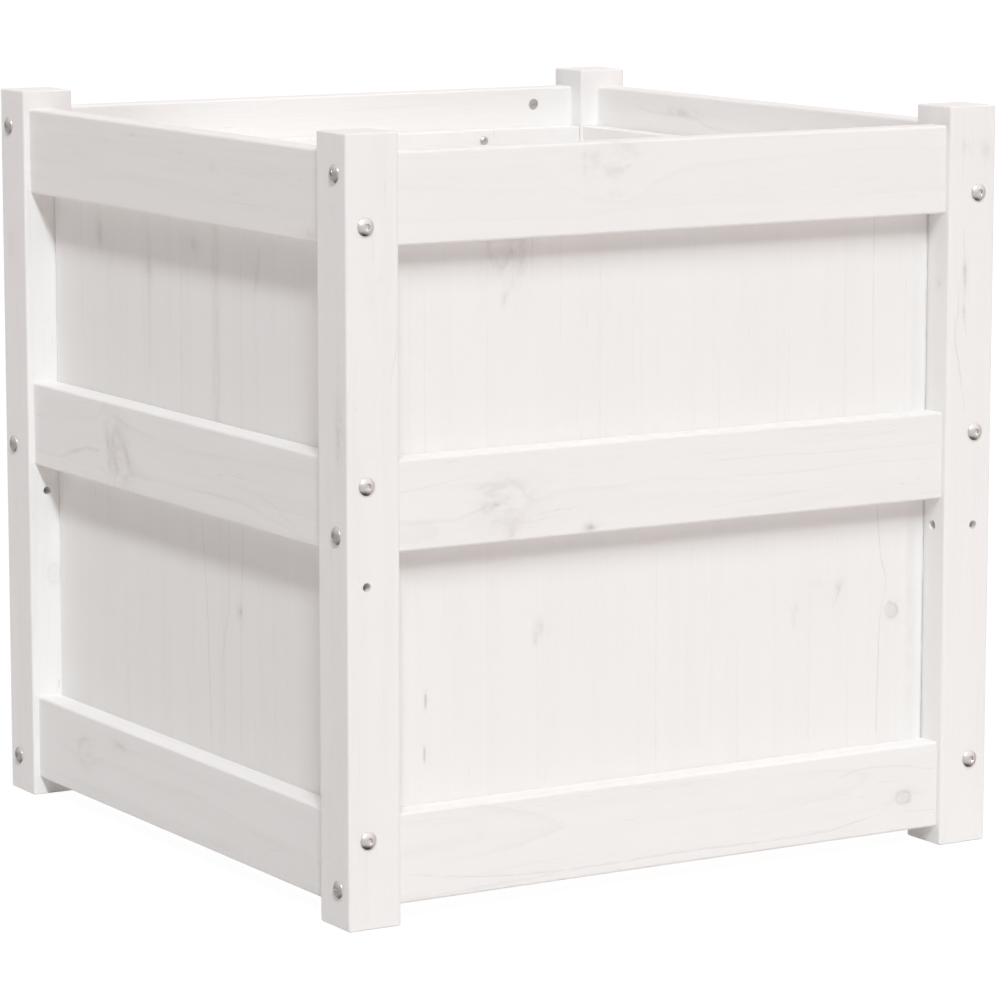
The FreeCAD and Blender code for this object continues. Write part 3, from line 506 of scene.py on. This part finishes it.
for i in range(6):
    name = f"floor_slat_{i + 1}"
    lo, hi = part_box(name)
    mid = 500.0 * (lo.y + hi.y)
    rr = random.Random(700 + i)
    WOOD[name] = dict(axes="xyz", seed=70 + i, pith=(mid + rr.uniform(-18, 18), rr.choice((-5.0, 120.0))),
        tilt=(rr.uniform(-0.02, 0.02), 0.0), ring=rr.uniform(2.8, 3.8), figure=0.9,
        knots=[(rr.uniform(-200, 200), mid + rr.uniform(-24, 24), rr.uniform(7, 13), rr.uniform(5, 9), 0.2, "w")])

for name, spec in WOOD.items():
    mesh = NODES[name].data
    mesh.materials.clear()
    mesh.materials.append(pine("pine_" + name, **spec))


# ---------------------------------------------------------------------------
# Metal and beech
# ---------------------------------------------------------------------------


def zinc(name, base, rough, seed):
    """Bright zinc plate: slightly uneven, with fine marks and a faint warm cast."""
    g = Graph(name)
    p = g.millimetres()
    big = g.noise(g.vmath("MULTIPLY", p, (0.55, 0.55, 0.55)), detail=3.0, rough=0.55)
    fine = g.noise(g.vmath("MULTIPLY", p, (5.0 + seed, 5.0, 5.0)), detail=3.0, rough=0.6)
    mark = g.remap(g.noise(g.vmath("MULTIPLY", p, (1.1, 9.0, 1.3)), detail=2.0, rough=0.5), 0.60, 0.74)
    tone = g.remap(big, 0.30, 0.72)
    dull = tuple(c * 0.80 for c in base)
    warm = (base[0] * 0.97, base[1] * 0.93, base[2] * 0.88)
    colour = g.mix(tone, base, warm)
    colour = g.mix(mark * 0.5, colour, dull)
    r = g.madd(fine, 0.10, g.madd(tone, 0.08, g.madd(mark, 0.10, rough)))
    h = g.madd(fine, 0.006, g.madd(mark, -0.010, big * 0.010))
    return g.surface(Base_Color=colour, Metallic=1.0, Roughness=r, Normal=g.bump(h, 0.001, 0.6))


def beech(name):
    """Bare beech of the fluted dowels: fine pale brown grain with short flecks."""
    g = Graph(name)
    x, y, z = g.split(g.millimetres())
    a = g.noise(g.vec(x * 0.35, y * 0.35, z * 0.9), detail=3.0, rough=0.6)
    fleck = g.remap(g.noise(g.vec(x * 1.4, y * 1.4, z * 2.6), detail=2.0, rough=0.5), 0.60, 0.72)
    colour = g.mix(g.remap(a, 0.3, 0.7), (0.60, 0.43, 0.27), (0.50, 0.33, 0.19))
    colour = g.mix(fleck * 0.5, colour, (0.36, 0.22, 0.12))
    return g.surface(Base_Color=colour, Roughness=g.madd(a, 0.2, 0.5), Specular_IOR_Level=0.3,
                     Normal=g.bump(a * 0.05 + fleck * -0.03, 0.001, 0.7))


BOLT = zinc("bolt_zinc_plate", (0.80, 0.770, 0.772), 0.13, 0.0)
SCREW = zinc("screw_zinc_plate", (0.66, 0.65, 0.645), 0.20, 0.7)
NUT = zinc("nut_zinc_plate", (0.56, 0.55, 0.545), 0.30, 1.3)
BEECH = beech("bare_beech_dowel")
SIDES = ("front", "right", "back", "left")
for side in SIDES:
    for stem, mat in (("barrel_nuts_", NUT), ("dowels_", BEECH)):
        m = NODES[stem + side].data
        m.materials.clear()
        m.materials.append(mat)


# ---------------------------------------------------------------------------
# Fasteners with full detail in place of the plain ones
# ---------------------------------------------------------------------------


def lathe_rings(bm, rings, segments, close_start=True, close_end=True):
    """rings: lists of Vector points, each with the same number of points; skins them with quads."""
    loops = [[bm.verts.new(p) for p in ring] for ring in rings]
    for a, b in zip(loops, loops[1:]):
        for i in range(segments):
            j = (i + 1) % segments
            bm.faces.new((a[i], a[j], b[j], b[i]))
    if close_start:
        c = bm.verts.new(sum((v.co for v in loops[0]), Vector()) / segments)
        for i in range(segments):
            bm.faces.new((c, loops[0][(i + 1) % segments], loops[0][i]))
    if close_end:
        c = bm.verts.new(sum((v.co for v in loops[-1]), Vector()) / segments)
        for i in range(segments):
            bm.faces.new((c, loops[-1][i], loops[-1][(i + 1) % segments]))
    return loops


def circle(r, h, segments, turn=0.0):
    return [Vector((r * math.cos(2 * math.pi * i / segments + turn), r * math.sin(2 * math.pi * i / segments + turn), h))
            for i in range(segments)]


def hexagon(corner_r, h, segments, turn=0.0):
    """Points of a hexagon at the same angles as the circle's points."""
    pts = []
    for i in range(segments):
        a = 2 * math.pi * i / segments
        k = ((a + math.pi / 6) % (math.pi / 3)) - math.pi / 6
        r = corner_r * math.cos(math.pi / 6) / math.cos(math.pi / 6 - abs(k))
        pts.append(Vector((r * math.cos(a + turn), r * math.sin(a + turn), h)))
    return pts


def thread_rings(r_root, r_crest, z_from, z_to, pitch, segments, per_pitch=4):
    """Rings along a screw thread; the radius follows the helix and fades at both ends."""
    n = max(2, int(round(abs(z_to - z_from) / pitch * per_pitch)))
    rings = []
    for k in range(n + 1):
        z = z_from + (z_to - z_from) * k / n
        fade = min(1.0, k / (1.5 * per_pitch), (n - k) / (1.5 * per_pitch))
        ring = []
        for i in range(segments):
            a = 2 * math.pi * i / segments
            t = (z / pitch + i / segments) % 1.0
            tri = 1.0 - abs(2.0 * t - 1.0)
            r = r_root + (r_crest - r_root) * tri * fade
            ring.append(Vector((r * math.cos(a), r * math.sin(a), z)))
        rings.append(ring)
    return rings


def bolt_mesh():
    """Domed furniture connector bolt: head dia 14, hexagon socket, M6 thread. Head stands on z = 0."""
    seg = 48
    bm = bmesh.new()
    turn = math.pi / 2
    rings = []
    # from the floor of the socket out, over the dome, under the head, down the shank
    rings.append(circle(0.55, 0.80, seg, turn))
    rings.append(hexagon(2.25, 1.05, seg, turn))
    rings.append(hexagon(2.42, 1.15, seg, turn))
    rings.append(hexagon(2.45, 1.9, seg, turn))
    rings.append(hexagon(2.45, 2.78, seg, turn))
    rings.append([p.lerp(q, 0.4) for p, q in zip(hexagon(2.52, 2.95, seg, turn), circle(2.62, 2.95, seg, turn))])
    dome_r = (7.0 ** 2 + 2.5 ** 2) / (2 * 2.5)
    top = 3.4

    def dome(r):
        return top - (dome_r - math.sqrt(dome_r ** 2 - r * r))

    for r in (2.74, 3.0, 3.4, 3.9, 4.4, 4.9, 5.4, 5.85, 6.25, 6.55):
        rings.append(circle(r, min(dome(r), 3.16) - (0.02 if r < 2.8 else 0.0), seg, turn))
    for r, h in ((6.78, 1.06), (6.93, 0.86), (7.0, 0.66), (7.0, 0.22), (6.93, 0.08), (6.80, 0.0)):
        rings.append(circle(r, h, seg, turn))
    rings.append(circle(4.6, 0.0, seg, turn))
    rings.append(circle(3.25, 0.0, seg, turn))
    rings.append(circle(3.0, -0.3, seg, turn))
    rings.append(circle(3.0, -48.0, seg, turn))
    shank = thread_rings(2.42, 3.0, -48.6, -87.2, 1.0, seg, 4)
    rings += [[Matrix.Rotation(turn, 3, "Z") @ p for p in r] for r in shank]
    rings.append(circle(2.1, -88.0, seg, turn))
    lathe_rings(bm, rings, seg)
    return bm


def screw_mesh(head_r, rim, crown, length, shank_r, pan=True):
    """Cross recess screw. The head stands on z = 0 (pan) or its top lies at z = 0 (countersunk)."""
    seg = 48
    bm = bmesh.new()
    rings = []
    arm, wide, deep = 0.56 * head_r, 0.155 * head_r, 0.34 * head_r

    def head_top(r):
        if pan:
            s = r / head_r
            return rim + crown * math.sqrt(max(0.0, 1.0 - s ** 2.6))
        return 0.0

    def recess(x, y):
        """Depth of the cross at a point: two tapered slots that meet in a pocket."""
        best = 0.0
        for a, b in ((x, y), (y, x)):
            along = 1.0 - max(0.0, (abs(a) - 0.72 * arm) / (0.28 * arm))
            across = 1.0 - max(0.0, (abs(b) - 0.70 * wide) / (0.30 * wide))
            if along > 0 and across > 0:
                d = min(1.0, along) * min(1.0, across)
                d *= 1.0 - 0.45 * min(1.0, abs(a) / arm)
                best = max(best, d)
        return best * deep

    n = 16
    for k in range(1, n + 1):
        r = head_r * 0.72 * k / n
        ring = []
        for p in circle(r, 0.0, seg):
            ring.append(Vector((p.x, p.y, head_top(r) - recess(p.x, p.y))))
        rings.append(ring)
    if pan:
        for s in (0.80, 0.88, 0.94, 0.98):
            rings.append(circle(head_r * s, head_top(head_r * s), seg))
        rings.append(circle(head_r, rim * 0.9, seg))
        rings.append(circle(head_r, 0.12, seg))
        rings.append(circle(head_r - 0.12, 0.0, seg))
        rings.append(circle(shank_r * 1.08, 0.0, seg))
    else:
        rings.append(circle(head_r * 0.9, 0.0, seg))
        rings.append(circle(head_r - 0.08, 0.0, seg))
        rings.append(circle(head_r, -0.08, seg))
        rings.append(circle(head_r, -rim, seg))
        rings.append(circle(shank_r * 1.08, -rim - crown, seg))
    low = 0.0 if pan else -rim - crown
    rings.append(circle(shank_r * 0.80, low - 0.4, seg))
    rings.append(circle(shank_r * 0.80, low - 0.22 * length, seg))
    rings += thread_rings(shank_r * 0.62, shank_r, low - 0.24 * length, -length + 2.6, 1.9, seg, 6)
    rings.append(circle(shank_r * 0.40, -length + 1.4, seg))
    rings.append(circle(shank_r * 0.06, -length, seg))
    lathe_rings(bm, rings, seg)
    return bm


def place_all(name, master, spots, mat, node, angle=32.0):
    """Copies the master (millimetres, +Z out of the head) to each spot (point in m, direction, spin) in one mesh."""
    if master.calc_volume(signed=True) < 0.0:
        bmesh.ops.reverse_faces(master, faces=master.faces)
    out = bmesh.new()
    for at, direction, spin in spots:
        copy = master.copy()
        turn = Vector(direction).to_track_quat("Z", "Y").to_matrix().to_4x4()
        m = Matrix.Translation(at) @ turn @ Matrix.Rotation(spin, 4, "Z") @ Matrix.Scale(0.001, 4)
        bmesh.ops.transform(copy, matrix=m, verts=copy.verts)
        tmp = bpy.data.meshes.new("tmp_copy")
        copy.to_mesh(tmp)
        copy.free()
        out.from_mesh(tmp)
        bpy.data.meshes.remove(tmp)
    mesh = bpy.data.meshes.new(name)
    out.to_mesh(mesh)
    out.free()
    for poly in mesh.polygons:
        poly.use_smooth = True
    mesh.set_sharp_from_angle(angle=math.radians(angle))
    mesh.materials.append(mat)
    o = bpy.data.objects.new(name, mesh)
    scene.collection.objects.link(o)
    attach(o, "root")
    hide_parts(node)
    return o


OUT = {"front": (0, -1, 0), "right": (1, 0, 0), "back": (0, 1, 0), "left": (-1, 0, 0)}
FACE = 0.2975
LINE = 0.2810
ROWS = {"front": (0.531, 0.338, 0.069), "back": (0.531, 0.338, 0.069),
        "left": (0.570, 0.300, 0.030), "right": (0.570, 0.300, 0.030)}
rnd = random.Random(5)
bolt = bolt_mesh()
for side in SIDES:
    n = Vector(OUT[side])
    along = Vector((1, 0, 0)) if side in ("front", "back") else Vector((0, 1, 0))
    spots = []
    for s in (-1, 1):
        for z in ROWS[side]:
            at = n * FACE + along * (s * LINE) + Vector((0, 0, z))
            spots.append((at, n, rnd.uniform(0.0, math.pi / 3)))
    place_all("connector_bolts_" + side, bolt, spots, BOLT, "bolts_" + side)
bolt.free()

# panel screws stand on the inner faces of the panels
screw = screw_mesh(4.0, 0.6, 1.9, 29.0, 1.9)
for side in SIDES:
    n = Vector(OUT[side])
    along = Vector((1, 0, 0)) if side in ("front", "back") else Vector((0, 1, 0))
    spots = []
    for s in (-0.152, 0.0, 0.152):
        for z in (0.541, 0.320, 0.068):
            spots.append((n * 0.255 + along * s + Vector((0, 0, z)), -n, rnd.uniform(0.0, math.pi / 2)))
    place_all("panhead_screws_" + side, screw, spots, SCREW, "panel_screws_" + side)
screw.free()

# countersunk screws: through the battens into the bottom rails, and through the slats into the battens
long_screw = screw_mesh(4.2, 0.0, 2.6, 50.0, 2.15, pan=False)
short_screw = screw_mesh(3.4, 0.0, 2.2, 30.0, 1.7, pan=False)
for side in ("left", "right"):
    n = Vector(OUT[side])
    spots = [(n * 0.235 + Vector((0, y, 0.035)), -n, rnd.uniform(0.0, math.pi / 2))
             for y in (-0.200, -0.070, 0.070, 0.200)]
    place_all("long_screws_" + side, long_screw, spots, SCREW, "batten_screws_" + side)
    spots = [(n * 0.2435 + Vector((0, y, 0.065)), Vector((0, 0, 1)), rnd.uniform(0.0, math.pi / 2))
             for y in (-0.2125, -0.1275, -0.0425, 0.0425, 0.1275, 0.2125)]
    place_all("short_screws_" + side, short_screw, spots, SCREW, "slat_screws_" + side)
long_screw.free()
short_screw.free()

# ---------------------------------------------------------------------------
# Stage: pale floor, a bounce floor under it, camera, soft light
# ---------------------------------------------------------------------------


def plane(name, size, z, colour, glow=0.0):
    bm = bmesh.new()
    bmesh.ops.create_grid(bm, x_segments=1, y_segments=1, size=size)
    bmesh.ops.translate(bm, vec=(0, 0, z), verts=bm.verts)
    mesh = bpy.data.meshes.new(name)
    bm.to_mesh(mesh)
    bm.free()
    g = Graph(name + "_mat")
    b = g.new("ShaderNodeBsdfDiffuse")
    b.inputs["Color"].default_value = (*colour, 1.0)
    o = g.new("ShaderNodeOutputMaterial")
    if glow:
        e = g.new("ShaderNodeEmission")
        e.inputs["Strength"].default_value = glow
        a = g.new("ShaderNodeAddShader")
        g.tree.links.new(b.outputs[0], a.inputs[0])
        g.tree.links.new(e.outputs[0], a.inputs[1])
        g.tree.links.new(a.outputs[0], o.inputs[0])
    else:
        g.tree.links.new(b.outputs[0], o.inputs[0])
    mesh.materials.append(g.mat)
    ob = bpy.data.objects.new(name, mesh)
    scene.collection.objects.link(ob)
    return ob


floor = plane("floor", 60.0, 0.0, (0.10, 0.10, 0.10), glow=0.94)
floor.visible_diffuse = False
floor.visible_glossy = False
floor.visible_shadow = False
bounce = plane("floor_bounce", 60.0, -0.0004, (0.817, 0.810, 0.802))
bounce.visible_camera = False
bounce.visible_glossy = False

# soft light from above, from the right and from behind; the polished metal sees a paler room, dark only
# straight down, where the floor lies in shade
world = bpy.data.worlds.new("studio")
scene.world = world
world.use_nodes = True
wt = world.node_tree
wt.nodes.clear()
tc = wt.nodes.new("ShaderNodeTexCoord")
sep = wt.nodes.new("ShaderNodeSeparateXYZ")
wt.links.new(tc.outputs["Generated"], sep.inputs[0])


def wmath(op, *values):
    n = wt.nodes.new("ShaderNodeMath")
    n.operation = op
    for socket, v in zip(n.inputs, values):
        if isinstance(v, float):
            socket.default_value = v
        else:
            wt.links.new(v, socket)
    return n.outputs[0]


dx, dy, dz = sep.outputs
sky = wmath("MULTIPLY_ADD", wmath("MAXIMUM", dx, 0.0), 0.578, 0.01)
sky = wmath("MULTIPLY_ADD", wmath("MULTIPLY", dz, dz), 0.668, sky)
bg = wt.nodes.new("ShaderNodeBackground")
bg.inputs["Color"].default_value = (1.222, 1.0, 0.957, 1.0)
wt.links.new(sky, bg.inputs["Strength"])
behind = wt.nodes.new("ShaderNodeBackground")
behind.inputs["Color"].default_value = (0.93, 1.0, 1.03, 1.0)
wt.links.new(wmath("MULTIPLY", wmath("MAXIMUM", dy, 0.0), 0.40), behind.inputs["Strength"])
soft = wt.nodes.new("ShaderNodeAddShader")
wt.links.new(bg.outputs[0], soft.inputs[0])
wt.links.new(behind.outputs[0], soft.inputs[1])
room = wmath("MULTIPLY_ADD", wmath("MAXIMUM", wmath("MULTIPLY", dy, -1.0), 0.0), 0.34, 0.40)
room = wmath("MULTIPLY_ADD", wmath("MAXIMUM", dx, 0.0), 0.20, room)
room = wmath("MULTIPLY_ADD", wmath("MAXIMUM", dz, 0.0), 0.60, room)
shade = wt.nodes.new("ShaderNodeMapRange")
shade.interpolation_type = "SMOOTHSTEP"
shade.inputs["From Min"].default_value = -0.90
shade.inputs["From Max"].default_value = -0.52
shade.inputs["To Min"].default_value = 0.06
wt.links.new(dz, shade.inputs["Value"])
mirror = wt.nodes.new("ShaderNodeBackground")
mirror.inputs["Color"].default_value = (1.02, 1.0, 0.985, 1.0)
wt.links.new(wmath("MULTIPLY", room, shade.outputs[0]), mirror.inputs["Strength"])
# the camera sees plain white past the floor
white = wt.nodes.new("ShaderNodeBackground")
white.inputs["Color"].default_value = (1.0, 1.0, 1.0, 1.0)
path = wt.nodes.new("ShaderNodeLightPath")
lit = wt.nodes.new("ShaderNodeMixShader")
wt.links.new(path.outputs["Is Glossy Ray"], lit.inputs[0])
wt.links.new(soft.outputs[0], lit.inputs[1])
wt.links.new(mirror.outputs[0], lit.inputs[2])
both = wt.nodes.new("ShaderNodeMixShader")
wt.links.new(path.outputs["Is Camera Ray"], both.inputs[0])
wt.links.new(lit.outputs[0], both.inputs[1])
wt.links.new(white.outputs[0], both.inputs[2])
wo = wt.nodes.new("ShaderNodeOutputWorld")
wt.links.new(both.outputs[0], wo.inputs[0])

# a long strip of light from the front left, high up: five overlapping discs
KEY = 2.147
LAMP = (0.924, 1.0, 1.022)
STRIP = (-0.62, -0.78, -0.95, -1.12, -1.29)
for i, ly in enumerate(STRIP):
    sun = bpy.data.lights.new(f"strip_{i}", "SUN")
    sun.energy = KEY / len(STRIP)
    sun.color = LAMP
    sun.angle = math.radians(7.0)
    so = bpy.data.objects.new(f"strip_{i}", sun)
    so.rotation_euler = Vector((0.45, -ly, -1.0)).to_track_quat("-Z", "Y").to_euler()
    scene.collection.objects.link(so)

# a weak soft panel of light inside, turned to the right, lifts the inner walls
fill = bpy.data.lights.new("inner_fill", "AREA")
fill.energy = 0.42
fill.color = LAMP
fill.shape = "RECTANGLE"
fill.size = 0.20
fill.size_y = 0.30
fo = bpy.data.objects.new("inner_fill", fill)
fo.location = (-0.20, 0.0, 0.46)
fo.rotation_euler = (0.0, math.radians(-90.0), 0.0)
fo.visible_camera = False
fo.visible_glossy = False
scene.collection.objects.link(fo)

# light that the pale floor would carry in under the bottom rails, turned down, just below them
under = bpy.data.lights.new("under_fill", "AREA")
under.energy = 0.20
under.color = (1.06, 1.0, 0.99)
under.shape = "SQUARE"
under.size = 0.54
uo = bpy.data.objects.new("under_fill", under)
uo.location = (0.0, 0.0, 0.0145)
uo.visible_camera = False
uo.visible_glossy = False
scene.collection.objects.link(uo)

cam = bpy.data.cameras.new("camera")
cam.lens = 162.2
cam.sensor_width = 36.0
cam.clip_end = 500.0
co = bpy.data.objects.new("camera", cam)
co.location = (-1.9049, -3.1734, 0.8488)
co.rotation_euler = (math.radians(90.0 - 8.963), 0.0, math.radians(-31.168))
scene.collection.objects.link(co)
scene.camera = co

scene.cycles.diffuse_bounces = 8
scene.view_settings.view_transform = "Standard"
scene.view_settings.look = "None"
scene.view_settings.exposure = 0.0
scene.view_settings.gamma = 1.0
